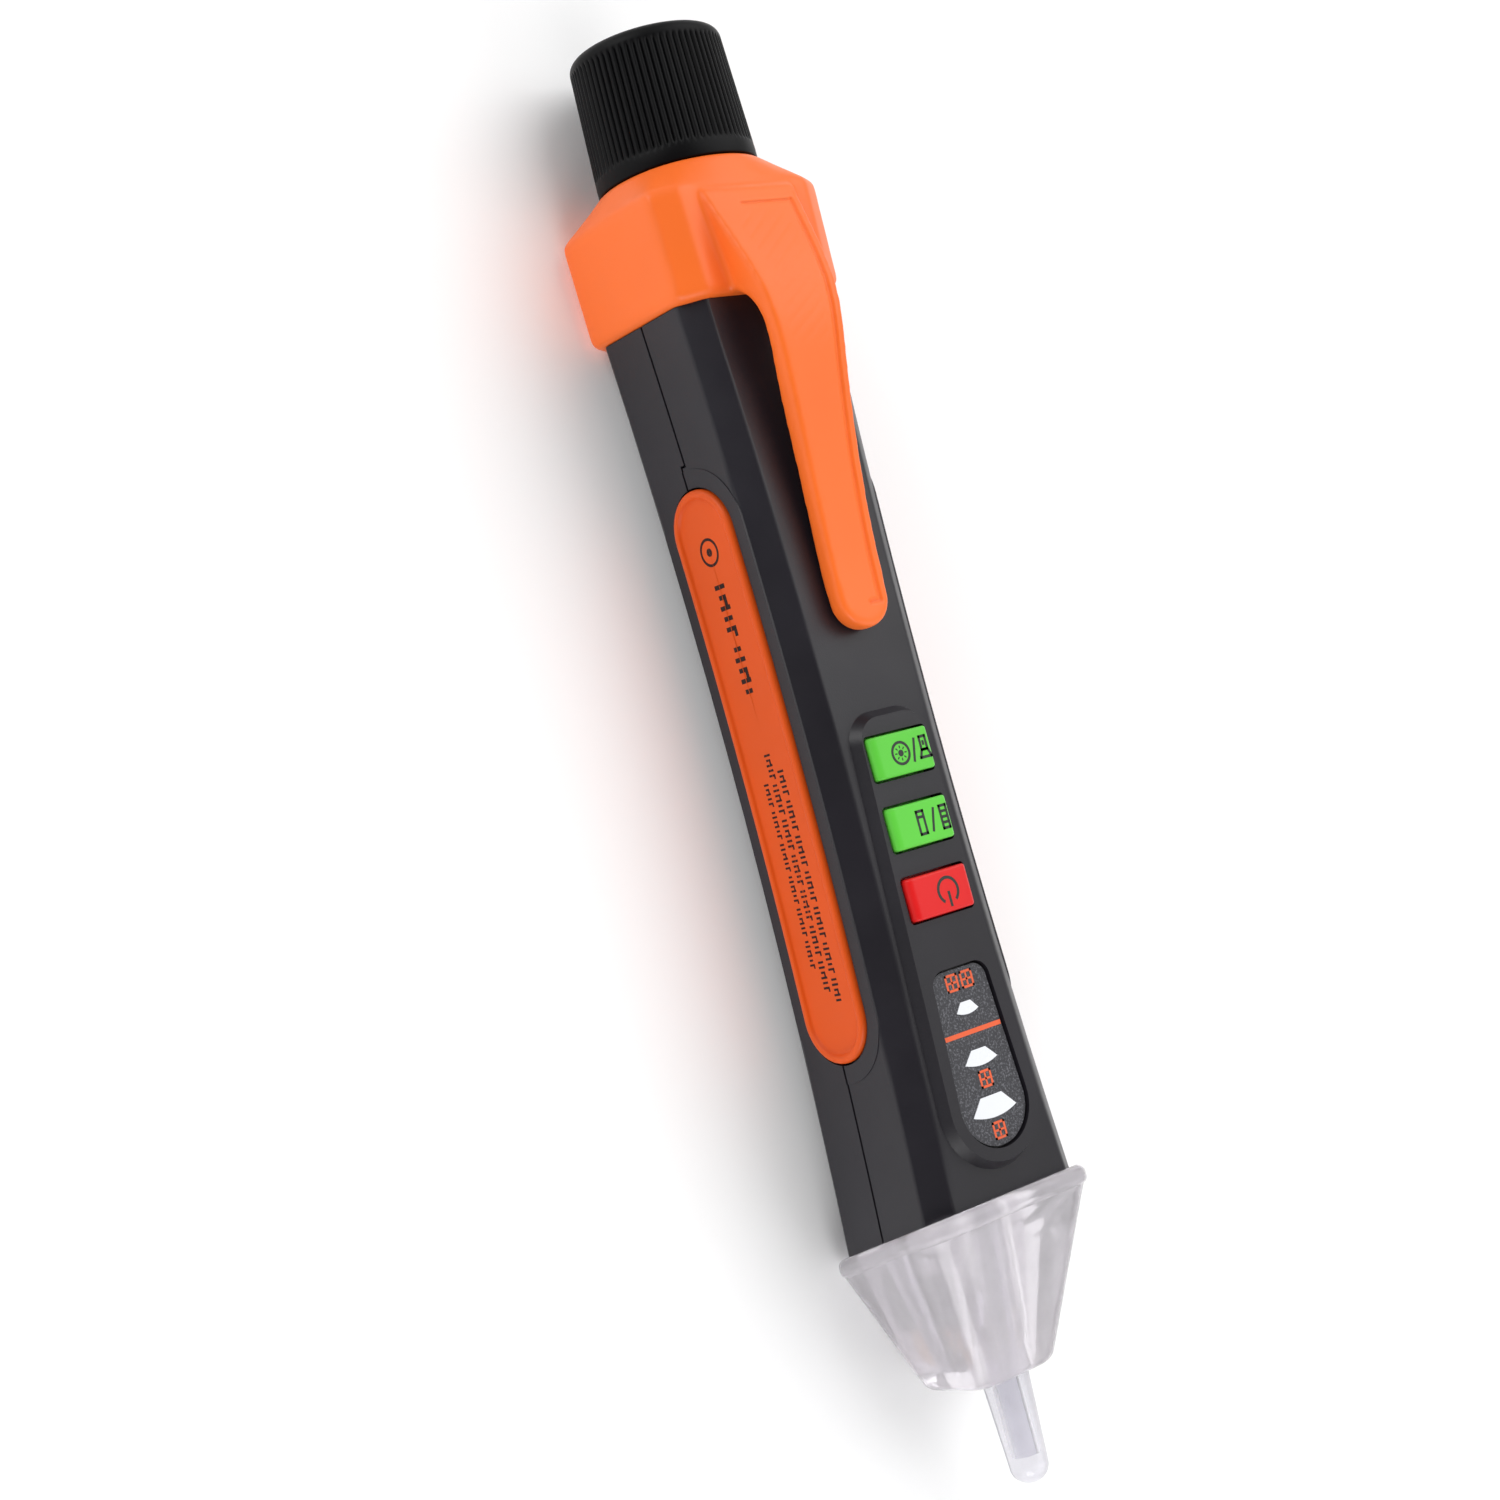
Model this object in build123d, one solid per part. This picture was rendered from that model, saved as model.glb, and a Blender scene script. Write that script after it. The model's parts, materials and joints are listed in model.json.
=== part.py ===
from build123d import *
import math
import os

os.makedirs("parts", exist_ok=True)

# Pen-shaped non-contact voltage tester, in millimetres.
# X runs along the pen from the battery cap to the probe, with X = 0 at half its length. The keys face +Z.
# Everything is built about the pen's axis, and save() then lifts it so that the back rests on Z = 0.

# ---- whole pen ----
LENGTH = 160.0
CAP_END = -LENGTH / 2
PROBE_END = LENGTH / 2
AXIS_HEIGHT = 10.2
GAP = 0.05  # clearance around parts that slide or drop into each other

# ---- case: a waisted octagonal tube, parted along its sides ----
HALF_HEIGHT = 9.0
WAIST_HALF_WIDTH = 9.0
WAIST_X = -1.7
SIDE_RADIUS = 750.0
EDGE_BEVEL = (2.5, 2.2)  # across the face and down the side
EDGE_BREAK = 0.3  # a second, smaller bevel that softens the first
SIDE_WALL = 1.9
FACE_WALL = 1.5
INNER_BEVEL = (1.7, 1.7)
CASE_START = -59.5
CASE_SEAT_STEP = 0.9
FLANGE_X = 50.4
FLANGE_SLOPE = 0.2  # the tip's flange leans back by this much per millimetre of height
SEAM_JOG_X = -33.8
SEAM_HEIGHTS = (0.25, -0.4)  # before and after the jog
SEAM_GROOVE_WIDTH = 0.28
SEAM_GROOVE_DEPTH = 0.45

# ---- neck and cap ----
NECK_START = -64.6
NECK_RADIUS = 7.95
NECK_BORE = 7.0
SEAL_SEAT_RADIUS = 7.5
SEAL_SEAT_END = -62.3
CAP_BASE = -64.8
CAP_TOP_RADIUS = 8.45
CAP_BASE_RADIUS = 8.9
CAP_TOP_ROUND = 1.2
CAP_PLUG_END = -58.3
CAP_PLUG_RADIUS = 6.9
CAP_BORE_RADIUS = 5.65
CAP_FLOOR = -74.0
SEAL_RADIUS = 6.8
SEAL_THICKNESS = 1.2
SEAL_X = -63.5
SEAL_GROOVE_RADIUS = 6.05
SEAL_GROOVE_WIDTH = 1.5

# ---- collar and pocket clip ----
SHOULDER_X = -61.0
COLLAR_END = -49.2
COLLAR_HALF_HEIGHT = AXIS_HEIGHT
COLLAR_HALF_WIDTHS = (11.6, 11.2)  # at the shoulder and at the end
COLLAR_BEVEL = (3.0, 2.0)  # across the face and down the side
COLLAR_END_BEVEL = 0.6
CLIP_ROOT_X = -48.4
CLIP_THICKNESS = 2.5
CLIP_END_X = -12.0
CLIP_HALF_WIDTHS = ((-60.4, 6.4), (-48.4, 5.1), (-40.0, 4.25), (-30.0, 3.65), (-20.0, 3.4), (-12.0, 3.35))
CLIP_TOP = (
    (-60.4, 10.8), (-55.0, 12.75), (-47.0, 14.9), (-40.0, 14.3), (-30.0, 12.85), (-20.0, 11.85), (-12.0, 11.7),
)
CLIP_BASE_Z = 9.3
ARCH_START_X = -49.6

# ---- side grips ----
GRIP_ENDS = (-31.1, 31.4)
GRIP_HALF_HEIGHT = 4.9
GRIP_Z = 0.15
GRIP_DEPTH = 1.2
GRIP_PROUD = 0.5
GRIP_GAP = 0.22
GRIP_GROOVE_INSET = 1.15
GRIP_GROOVE = 0.22
SURROUND_MARGIN = 2.2
SURROUND_HALF_HEIGHT = 6.75
SURROUND_PROUD = 0.08

# ---- raised key plateau ----
PLATEAU_TOP = 10.2
PLATEAU_SLOPE_WIDTH = 0.75
PLATEAU_UNDERSIDE = 8.5
PLATEAU_CORNER = 3.5
PLATEAU_CORNER_X = -0.1
PLATEAU_CORNER_Y = 1.8
PLATEAU_END_X = 39.05
PLATEAU_END_RADIUS = 6.9
PLATEAU_INSIDE_MARGIN = 0.6

# ---- keys and their switches ----
# name, X of its middle, half its width
KEYS = (("light", 1.5, 4.05), ("sensitivity", 9.05, 4.1), ("power", 16.55, 4.25))
KEY_LENGTH = 4.5
KEY_TOP = 11.1
KEY_SLOT_GAP = 0.28
KEY_SLOT_CORNER = 0.5
KEY_LIP = 0.42
KEY_LIP_Z = (7.6, 8.4)
KEY_END_ROUND = 0.9
KEY_EDGE_ROUND = 0.25
SWITCH_SIZE = (3.4, 5.0)
SWITCH_BORE = 1.05
PLUNGER_RADIUS = 0.85
PLUNGER_Z = (7.08, 7.6)

# ---- indicator panel ----
PANEL_CORNER = 1.8
PANEL_CORNER_X = 26.2
PANEL_CORNER_Y = 2.2
PANEL_END_RADIUS = 4.8
PANEL_FLOOR = 9.0
PANEL_TOP = 9.85
PANEL_GAP = 0.25
WINDOW_TOP = 9.92
WINDOW_BOTTOM = 7.3
# name, X of the short edge, half its width, X of the wide edge, half its width, bulge of the wide edge
WINDOWS = (
    ("window_small", 28.2, 0.7, 29.2, 1.55, 0.35),
    ("window_medium", 33.3, 1.0, 34.6, 2.3, 0.45),
    ("window_large", 38.3, 1.5, 40.0, 3.1, 0.6),
)

# ---- inside ----
BATTERY_RADIUS = 5.2
BATTERY_LENGTH = 44.5
BATTERY_START = -67.5
BATTERY_NUB_RADIUS = 1.9
BATTERY_NUB = 1.0
HOLDER_BORE = 5.45
HOLDER_RADIUS = 5.95
HOLDER_X = (-57.4, 27.0)
BOARD_X = (-8.0, 46.8)
BOARD_HALF_WIDTH = 6.0
BOARD_Z = (6.05, 6.65)
SCREW_PLACES = ((22.3, 4.6), (22.3, -4.6), (44.0, 4.4), (44.0, -4.4))
SCREW_BOSS_RADIUS = 1.6
SCREW_RADIUS = 0.75
SCREW_HEAD_RADIUS = 1.3
SCREW_TOP = 8.0

# ---- clear tip ----
FLANGE_CORNER = 2.9
BEAD_WIDTH = 2.2
BEAD_PROUD = 1.2
BEAD_ROUND = 0.9
CONE_END = 68.3
CONE_START_PROUD = 0.95
CONE_END_Z = -2.3
CONE_END_SIZE = (12.4, 11.8)
CONE_END_CORNER = 4.0
CONE_END_ROUND = 1.7
SPIGOT_START = 47.0
SPIGOT_WALL = 1.0
SLEEVE_SEAT_RADIUS = 3.0
SLEEVE_SEAT_END = 63.05
LAMP_Z = -5.5
LAMP_Y = 2.45
LAMP_END = 65.2
ANTENNA_X = (46.0, 60.0)
PROBE_BORE = (77.0, 1.15)  # its far end and radius


def save(name, shape):
    """Writes one sub-part, lifted from the pen's axis to its place above the resting plane."""
    solids = [Pos(0, 0, AXIS_HEIGHT) * solid for solid in shape.solids()]
    export_step(solids[0] if len(solids) == 1 else Compound(solids), f"parts/{name}.step")


def x_slab(x_from, x_to):
    """A large block that covers everything between two planes across the pen."""
    return Pos((x_from + x_to) / 2, 0, 0) * Box(x_to - x_from, 80, 80)


def block(x_range, y_range, z_range):
    """A plain block between two corners."""
    size = [b - a for a, b in (x_range, y_range, z_range)]
    middle = [(a + b) / 2 for a, b in (x_range, y_range, z_range)]
    return Pos(*middle) * Box(*size)


def rod(x_from, x_to, radius, y=0.0, z=0.0):
    """A round bar along X."""
    return Pos((x_from + x_to) / 2, y, z) * Rot(0, 90, 0) * Cylinder(radius, x_to - x_from)


def post(x, y, radius, z_from, z_to):
    """A round bar along Z."""
    return Pos(x, y, (z_from + z_to) / 2) * Cylinder(radius, z_to - z_from)


def turned(points):
    """A solid turned about X from an outline of (x, radius) points."""
    outline = make_face(Polyline(*[(x, r, 0) for x, r in points], close=True))
    return revolve(outline, Axis.X)


def side_half_width(x):
    """Half the case's width at a place along the pen."""
    return WAIST_HALF_WIDTH + SIDE_RADIUS - math.sqrt(SIDE_RADIUS**2 - (x - WAIST_X) ** 2)


def waisted_plan(offset):
    """The case's outline from above, grown outwards by an offset."""
    plan = Rectangle(LENGTH, 40)
    for side in (1, -1):
        plan -= Pos(WAIST_X, side * (WAIST_HALF_WIDTH + SIDE_RADIUS)) * Circle(SIDE_RADIUS - offset)
    return plan


def bevel_long_edges(bar, legs):
    """Bevels the long edges of a bar's top and bottom faces. The first leg is across the face."""
    for place in (0, -1):
        face = bar.faces().sort_by(Axis.Z)[place]
        long_edges = face.edges().filter_by(lambda edge: abs(edge.tangent_at(0.5).X) > 0.9)
        bar = chamfer(long_edges, *legs, reference=face)
    return bar


def waisted_tube(offset, half_height, bevel, edge_break=0.0):
    """The waisted octagonal bar that the case is made from."""
    bar = bevel_long_edges(extrude(waisted_plan(offset), half_height, both=True), bevel)
    if edge_break:
        bar = chamfer(bar.edges().filter_by(GeomType.CIRCLE), edge_break)
    return bar


def behind_flange(distance=0.0):
    """Everything on the cap's side of the slanted flange plane, moved along the pen by a distance."""
    plane = Plane((FLANGE_X + distance, 0, 0), x_dir=(0, 1, 0), z_dir=(1, 0, FLANGE_SLOPE))
    return extrude(plane * Rectangle(80, 80), -2 * LENGTH)


def hull_outline(corner_x, corner_y, corner_radius, end_radius):
    """The flared outline of the plateau and the panel: two corners at one end and a round at the other."""
    rounds = [Pos(corner_x, y) * Circle(corner_radius) for y in (corner_y, -corner_y)]
    rounds.append(Pos(PLATEAU_END_X, 0) * Circle(end_radius))
    return make_hull([edge for circle in rounds for edge in circle.edges()])


def plateau_outline(inset):
    corner, end = PLATEAU_CORNER - inset, PLATEAU_END_RADIUS - inset
    return hull_outline(PLATEAU_CORNER_X, PLATEAU_CORNER_Y, corner, end)


def panel_outline(inset):
    corner, end = PANEL_CORNER - inset, PANEL_END_RADIUS - inset
    return hull_outline(PANEL_CORNER_X, PANEL_CORNER_Y, corner, end)


def side_stadium(half_height, ends):
    """A stadium across the pen's sides, as a bar along Y."""
    length = ends[1] - ends[0]
    flat = Plane.XZ * Pos(sum(ends) / 2, GRIP_Z) * SlotOverall(length, 2 * half_height)
    return extrude(flat, 40, both=True)


def window_face(short_x, short_half, wide_x, wide_half, bulge):
    """A fan-shaped window: a short edge, two slanted sides and a bulging wide edge."""
    corners = [(wide_x, wide_half), (short_x, short_half), (short_x, -short_half), (wide_x, -wide_half)]
    sides = Polyline(*corners)
    wide_edge = ThreePointArc((wide_x, wide_half), (wide_x + bulge, 0), (wide_x, -wide_half))
    return make_face([sides, wide_edge])


def key_block(x, half_width, grow, z_range):
    """A key's plan as a block, grown on all four sides."""
    length = KEY_LENGTH / 2 + grow
    width = half_width + grow
    return block((x - length, x + length), (-width, width), z_range)


def key_slot(x, half_width):
    """The hole that a key stands in, with rounded corners."""
    opening = key_block(x, half_width, KEY_SLOT_GAP, (PLATEAU_UNDERSIDE - 1, PLATEAU_TOP + 1))
    return fillet(opening.edges().filter_by(Axis.Z), KEY_SLOT_CORNER)


def spring(x_from, x_to, big_radius, small_radius, wire, turns):
    """A conical coil spring along X, its wide end at x_from."""
    height = abs(x_to - x_from) - 2 * wire
    angle = math.degrees(math.atan((small_radius - big_radius) / height))
    path = Helix(height / turns, height, big_radius, cone_angle=angle)
    profile = Plane(path @ 0, z_dir=path % 0) * Circle(wire)
    coil = sweep(profile, path, is_frenet=True)
    turn = 90 if x_to > x_from else -90
    return Pos(x_from + math.copysign(wire, x_to - x_from), 0, 0) * Rot(0, turn, 0) * coil


def seam_groove():
    """The fine groove that shows where the case's two halves meet."""
    half = SEAM_GROOVE_WIDTH / 2
    first, second = SEAM_HEIGHTS
    path = block((-LENGTH, SEAM_JOG_X + half), (-40, 40), (first - half, first + half))
    path += block((SEAM_JOG_X - half, SEAM_JOG_X + half), (-40, 40), (second - half, first + half))
    path += block((SEAM_JOG_X - half, LENGTH), (-40, 40), (second - half, second + half))
    path -= extrude(waisted_plan(-SEAM_GROOVE_DEPTH), HALF_HEIGHT, both=True)
    return path & x_slab(COLLAR_END - 1, LENGTH)


def make_case():
    """The hollow case before it is parted into its two halves."""
    outer = waisted_tube(0, HALF_HEIGHT, EDGE_BEVEL, EDGE_BREAK) & x_slab(COLLAR_END, LENGTH / 2)
    seat = waisted_tube(-CASE_SEAT_STEP, HALF_HEIGHT - CASE_SEAT_STEP, EDGE_BEVEL)
    outer += seat & x_slab(CASE_START, COLLAR_END)
    outer += rod(NECK_START, CASE_START, NECK_RADIUS)
    surround_ends = (GRIP_ENDS[0] - SURROUND_MARGIN, GRIP_ENDS[1] + SURROUND_MARGIN)
    surround = extrude(waisted_plan(SURROUND_PROUD), HALF_HEIGHT, both=True)
    outer += surround & side_stadium(SURROUND_HALF_HEIGHT, surround_ends)
    base = Pos(0, 0, HALF_HEIGHT - 0.2) * plateau_outline(-0.1)
    top = Pos(0, 0, PLATEAU_TOP) * plateau_outline(PLATEAU_SLOPE_WIDTH)
    outer += loft([base, top])
    outer &= behind_flange()
    outer -= seam_groove()

    inside = waisted_tube(-SIDE_WALL, HALF_HEIGHT - FACE_WALL, INNER_BEVEL) & x_slab(-58.0, LENGTH / 2)
    inside += rod(NECK_START, -58.0, NECK_BORE)
    inside += rod(NECK_START, SEAL_SEAT_END, SEAL_SEAT_RADIUS)
    inside += extrude(plateau_outline(PLATEAU_INSIDE_MARGIN), PLATEAU_UNDERSIDE)
    case = outer - inside

    for _, x, half_width in KEYS:
        case -= key_slot(x, half_width)
    case -= Pos(0, 0, PANEL_FLOOR) * extrude(panel_outline(0), 2)
    for _, *sizes in WINDOWS:
        case -= extrude(window_face(*sizes), 20)
    grip_cut = side_stadium(GRIP_HALF_HEIGHT + GRIP_GAP, (GRIP_ENDS[0] - GRIP_GAP, GRIP_ENDS[1] + GRIP_GAP))
    case -= grip_cut - extrude(waisted_plan(-GRIP_DEPTH), HALF_HEIGHT, both=True)
    for x, y in SCREW_PLACES:
        ceiling = PLATEAU_UNDERSIDE if x < PLATEAU_END_X else HALF_HEIGHT - FACE_WALL
        case += post(x, y, SCREW_BOSS_RADIUS, BOARD_Z[1], ceiling + 0.2)
        case -= post(x, y, SCREW_RADIUS, 0, SCREW_TOP)
    return case


def above_seam():
    """Everything above the parting line, with its jog beside the grips."""
    first = block((-LENGTH, SEAM_JOG_X), (-40, 40), (SEAM_HEIGHTS[0], 40))
    return first + block((SEAM_JOG_X, LENGTH), (-40, 40), (SEAM_HEIGHTS[1], 40))


def make_grip(side):
    """One soft grip pad with the groove that runs inside its border."""
    proud = SURROUND_PROUD + GRIP_PROUD
    skin = extrude(waisted_plan(proud) - waisted_plan(-GRIP_DEPTH), HALF_HEIGHT, both=True)
    half = block((-LENGTH, LENGTH), (0, side * 40) if side > 0 else (-40, 0), (-40, 40))
    pad = skin & side_stadium(GRIP_HALF_HEIGHT, GRIP_ENDS) & half
    groove_bed = skin - extrude(waisted_plan(proud - GRIP_GROOVE), HALF_HEIGHT, both=True)
    inset = GRIP_GROOVE_INSET
    ring = side_stadium(GRIP_HALF_HEIGHT - inset, (GRIP_ENDS[0] + inset, GRIP_ENDS[1] - inset))
    inset += GRIP_GROOVE
    ring -= side_stadium(GRIP_HALF_HEIGHT - inset, (GRIP_ENDS[0] + inset, GRIP_ENDS[1] - inset))
    return pad - (groove_bed & ring)


def clip_bar():
    """The whole clip, from its root wedge on the collar to its free end."""
    first, last = CLIP_TOP[0], CLIP_TOP[-1]
    top_edge = Spline(*[(x, 0, z) for x, z in CLIP_TOP])
    under = [(x, 0, z - CLIP_THICKNESS) for x, z in CLIP_TOP[2:]]
    under_edge = Spline((ARCH_START_X, 0, COLLAR_HALF_HEIGHT - 0.6), *under)
    end_edge = Line((last[0], 0, last[1]), under[-1])
    back_edge = Polyline((first[0], 0, first[1]), (first[0], 0, CLIP_BASE_Z), (ARCH_START_X, 0, CLIP_BASE_Z),
                         under_edge @ 0)
    side = make_face([top_edge, end_edge, under_edge, back_edge])
    side_bar = extrude(side, 12, both=True, dir=(0, 1, 0))
    points = CLIP_HALF_WIDTHS[:-1] + ((CLIP_END_X - 3.35, 3.35),)
    left_edge = Spline(*[(x, y, 0) for x, y in points])
    right_edge = Spline(*[(x, -y, 0) for x, y in points])
    round_end = ThreePointArc(left_edge @ 1, (CLIP_END_X, 0, 0), right_edge @ 1)
    root = Line(right_edge @ 0, left_edge @ 0)
    plan = make_face([left_edge, round_end, right_edge, root])
    return side_bar & extrude(plan, 30)


def make_collar(clip):
    """The collar that holds the case together and narrows to the cap, with the clip's root on its top."""
    wide, narrow = COLLAR_HALF_WIDTHS
    corners = [(SHOULDER_X, wide), (COLLAR_END, narrow), (COLLAR_END, -narrow), (SHOULDER_X, -wide)]
    plan = make_face(Polyline(*corners, close=True))
    sleeve = bevel_long_edges(extrude(plan, COLLAR_HALF_HEIGHT, both=True), COLLAR_BEVEL)
    sleeve = chamfer(sleeve.faces().sort_by(Axis.X)[-1].edges(), COLLAR_END_BEVEL)
    cap_rim = Plane((CAP_BASE, 0, 0), x_dir=(0, 1, 0), z_dir=(1, 0, 0)) * Circle(CAP_BASE_RADIUS)
    collar = sleeve + loft([cap_rim, sleeve.faces().sort_by(Axis.X)[0]])
    collar += clip & x_slab(-LENGTH, CLIP_ROOT_X)
    seat = waisted_tube(-CASE_SEAT_STEP, HALF_HEIGHT - CASE_SEAT_STEP, EDGE_BEVEL)
    collar -= seat & x_slab(CASE_START, 0)
    return collar - rod(-LENGTH, CASE_START, NECK_RADIUS)


def make_cap():
    shell = Pos((CAP_END + CAP_BASE) / 2, 0, 0) * Rot(0, 90, 0) * Cone(
        CAP_TOP_RADIUS, CAP_BASE_RADIUS, CAP_BASE - CAP_END)
    shell = fillet(shell.edges().sort_by(Axis.X)[0], CAP_TOP_ROUND)
    shell += rod(CAP_BASE, CAP_PLUG_END, CAP_PLUG_RADIUS)
    shell -= rod(CAP_FLOOR, 0, CAP_BORE_RADIUS)
    groove = (SEAL_X - SEAL_GROOVE_WIDTH / 2, SEAL_X + SEAL_GROOVE_WIDTH / 2)
    return shell - (rod(*groove, 7.2) - rod(*groove, SEAL_GROOVE_RADIUS))


def make_battery(start):
    body_end = start + BATTERY_LENGTH - BATTERY_NUB
    can = fillet(rod(start, body_end, BATTERY_RADIUS).edges().filter_by(GeomType.CIRCLE), 0.4)
    return can + rod(body_end, start + BATTERY_LENGTH, BATTERY_NUB_RADIUS)


def make_holder():
    """The tube that the cells slide into, closed at its far end and slotted on both sides."""
    tube = rod(*HOLDER_X, HOLDER_RADIUS) - rod(HOLDER_X[0], HOLDER_X[1] - 1.0, HOLDER_BORE)
    for x in (-42.0, -19.0, 4.0):
        tube -= block((x, x + 15.0), (-10, 10), (-2.5, 2.5))
    return tube


def make_contact_strip():
    """The strip that carries the cap's contact forward to the board."""
    run = block((-57.6, 29.0), (6.05, 6.35), (-1.4, 1.4))
    riser = block((27.5, 29.0), (6.05, 6.35), (-1.4, 6.9))
    foot = block((27.5, 29.0), (5.6, 6.35), (6.65, 6.9))
    return run + riser + foot


def make_board():
    board = block(BOARD_X, (-BOARD_HALF_WIDTH, BOARD_HALF_WIDTH), BOARD_Z)
    for x, y in SCREW_PLACES:
        board -= post(x, y, SCREW_RADIUS + 0.1, 0, 20)
    return board - block((27.3, 29.2), (5.5, 7.0), (6.0, 7.0))


def make_screw(x, y):
    head = post(x, y, SCREW_HEAD_RADIUS, BOARD_Z[0] - 0.8, BOARD_Z[0])
    slot = block((x - 1.0, x + 1.0), (y - 0.15, y + 0.15), (BOARD_Z[0] - 1.0, BOARD_Z[0] - 0.5))
    return head + post(x, y, SCREW_RADIUS, BOARD_Z[0], SCREW_TOP) - slot


def make_key(x, half_width):
    body = key_block(x, half_width, 0, (KEY_LIP_Z[0], KEY_TOP))
    across = body.edges().group_by(Axis.Z)[-1]
    ends = across.filter_by(Axis.X)
    body = fillet(ends, KEY_END_ROUND)
    rim = body.faces().sort_by(Axis.Z)[-1].edges().filter_by(Axis.Y)
    body = fillet(rim, KEY_EDGE_ROUND)
    return body + key_block(x, half_width, KEY_LIP, KEY_LIP_Z)


def make_switch(x):
    length, width = SWITCH_SIZE[0] / 2, SWITCH_SIZE[1] / 2
    shell = block((x - length, x + length), (-width, width), (BOARD_Z[1], BOARD_Z[1] + 0.5))
    return shell - post(x, 0, SWITCH_BORE, BOARD_Z[1], 20)


def flange_section(distance, grow):
    """The tip's rounded outline at its slanted flange, a distance along the pen from the case's end."""
    plane = Plane((FLANGE_X + distance, 0, 0), x_dir=(0, 1, 0), z_dir=(1, 0, FLANGE_SLOPE))
    lean = math.hypot(1, FLANGE_SLOPE)
    width = 2 * (side_half_width(FLANGE_X) + grow)
    return plane * RectangleRounded(width, 2 * (HALF_HEIGHT + grow) * lean, FLANGE_CORNER + grow)


def make_tip():
    """The clear tip: a beaded flange, a tapered nose, a spigot and seats for the probe and lamps."""
    bead = loft([flange_section(0, BEAD_PROUD), flange_section(BEAD_WIDTH, BEAD_PROUD)], ruled=True)
    rims = bead.edges().filter_by(lambda edge: edge.is_closed or abs(edge.tangent_at(0.5).X) < 0.9)
    bead = fillet(rims, BEAD_ROUND)
    end_plane = Plane((CONE_END, 0, CONE_END_Z), x_dir=(0, 1, 0), z_dir=(1, 0, 0))
    end = end_plane * RectangleRounded(*CONE_END_SIZE, CONE_END_CORNER)
    cone = loft([flange_section(BEAD_WIDTH - 0.6, CONE_START_PROUD), end])
    cone = fillet(cone.faces().sort_by(Axis.X)[-1].edges(), CONE_END_ROUND)
    tip = bead + cone
    spigot = waisted_tube(-SIDE_WALL - GAP, HALF_HEIGHT - FACE_WALL - GAP, INNER_BEVEL)
    spigot &= behind_flange(0.5) & x_slab(SPIGOT_START, LENGTH)
    hollow = waisted_tube(-SIDE_WALL - SPIGOT_WALL, HALF_HEIGHT - FACE_WALL - SPIGOT_WALL, INNER_BEVEL)
    tip += spigot
    tip -= hollow & x_slab(0, LENGTH) & behind_flange(0.4)
    tip -= rod(40, SLEEVE_SEAT_END, SLEEVE_SEAT_RADIUS)
    bore_start, bore_end = SLEEVE_SEAT_END - 1, CONE_END + 1
    tip -= turned([(bore_start, 0), (bore_start, 2.8), (bore_end, 2.72), (bore_end, 0)])
    mouth = Plane((48.0, 0, LAMP_Z), x_dir=(0, 1, 0), z_dir=(1, 0, 0)) * Rectangle(15.0, 4.2)
    throat = Plane((LAMP_END + 0.6, 0, LAMP_Z), x_dir=(0, 1, 0), z_dir=(1, 0, 0)) * Rectangle(9.0, 4.4)
    return tip - loft([mouth, throat])


def make_probe_sleeve():
    """The clear stepped sleeve whose closed nose is the probe."""
    nose = turned([
        (50.0, 0), (50.0, 2.6), (61.0, 2.6), (61.0, 2.95), (63.0, 2.95), (63.0, 2.72),
        (CONE_END + 0.4, 2.62), (PROBE_END, 2.05), (PROBE_END, 0),
    ])
    nose = fillet(nose.faces().sort_by(Axis.X)[-1].edges(), 1.9)
    return nose - rod(50.0, *PROBE_BORE)


def make_antenna():
    """The sensing wire, bent up to the board at its root."""
    return rod(*ANTENNA_X, 0.45) + post(ANTENNA_X[0] + 0.3, 0, 0.45, -0.2, BOARD_Z[0])


def make_torch_led():
    dome = Pos(LAMP_END - 2.0, -LAMP_Y, LAMP_Z) * Sphere(2.0)
    return rod(58.5, LAMP_END - 2.0, 2.0, -LAMP_Y, LAMP_Z) + (dome & x_slab(LAMP_END - 2.0, LENGTH))


def make_laser():
    barrel = rod(55.0, LAMP_END, 1.95, LAMP_Y, LAMP_Z)
    return barrel - rod(LAMP_END - 1.2, LENGTH, 1.0, LAMP_Y, LAMP_Z)


def make_lamp_holder():
    holder = block((54.0, 60.5), (-4.9, 4.9), (LAMP_Z - 2.08, LAMP_Z + 2.08))
    holder -= rod(58.5, LENGTH, 2.0, -LAMP_Y, LAMP_Z)
    return holder - rod(55.0, LENGTH, 1.95, LAMP_Y, LAMP_Z)


case = make_case()
save("front_case", case & above_seam())
save("rear_case", case - above_seam())
save("side_grip_left", make_grip(-1))
save("side_grip_right", make_grip(1))

clip = clip_bar()
save("clip_collar", make_collar(clip))
save("pocket_clip", clip & x_slab(CLIP_ROOT_X + GAP, LENGTH))

save("battery_cap", make_cap())
save("cap_seal", Pos(SEAL_X, 0, 0) * Rot(0, 90, 0) * Torus(SEAL_RADIUS, SEAL_THICKNESS / 2))
save("cap_spring", spring(CAP_FLOOR, BATTERY_START - 0.1, 4.2, 2.4, 0.35, 4))

for number in (1, 2):
    save(f"battery_{number}", make_battery(BATTERY_START + (number - 1) * BATTERY_LENGTH))
save("battery_holder", make_holder())
save("contact_strip", make_contact_strip())
save("front_spring", spring(HOLDER_X[1] - 1.0, BATTERY_START + 2 * BATTERY_LENGTH + 0.05, 3.8, 1.8, 0.3, 4))

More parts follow.
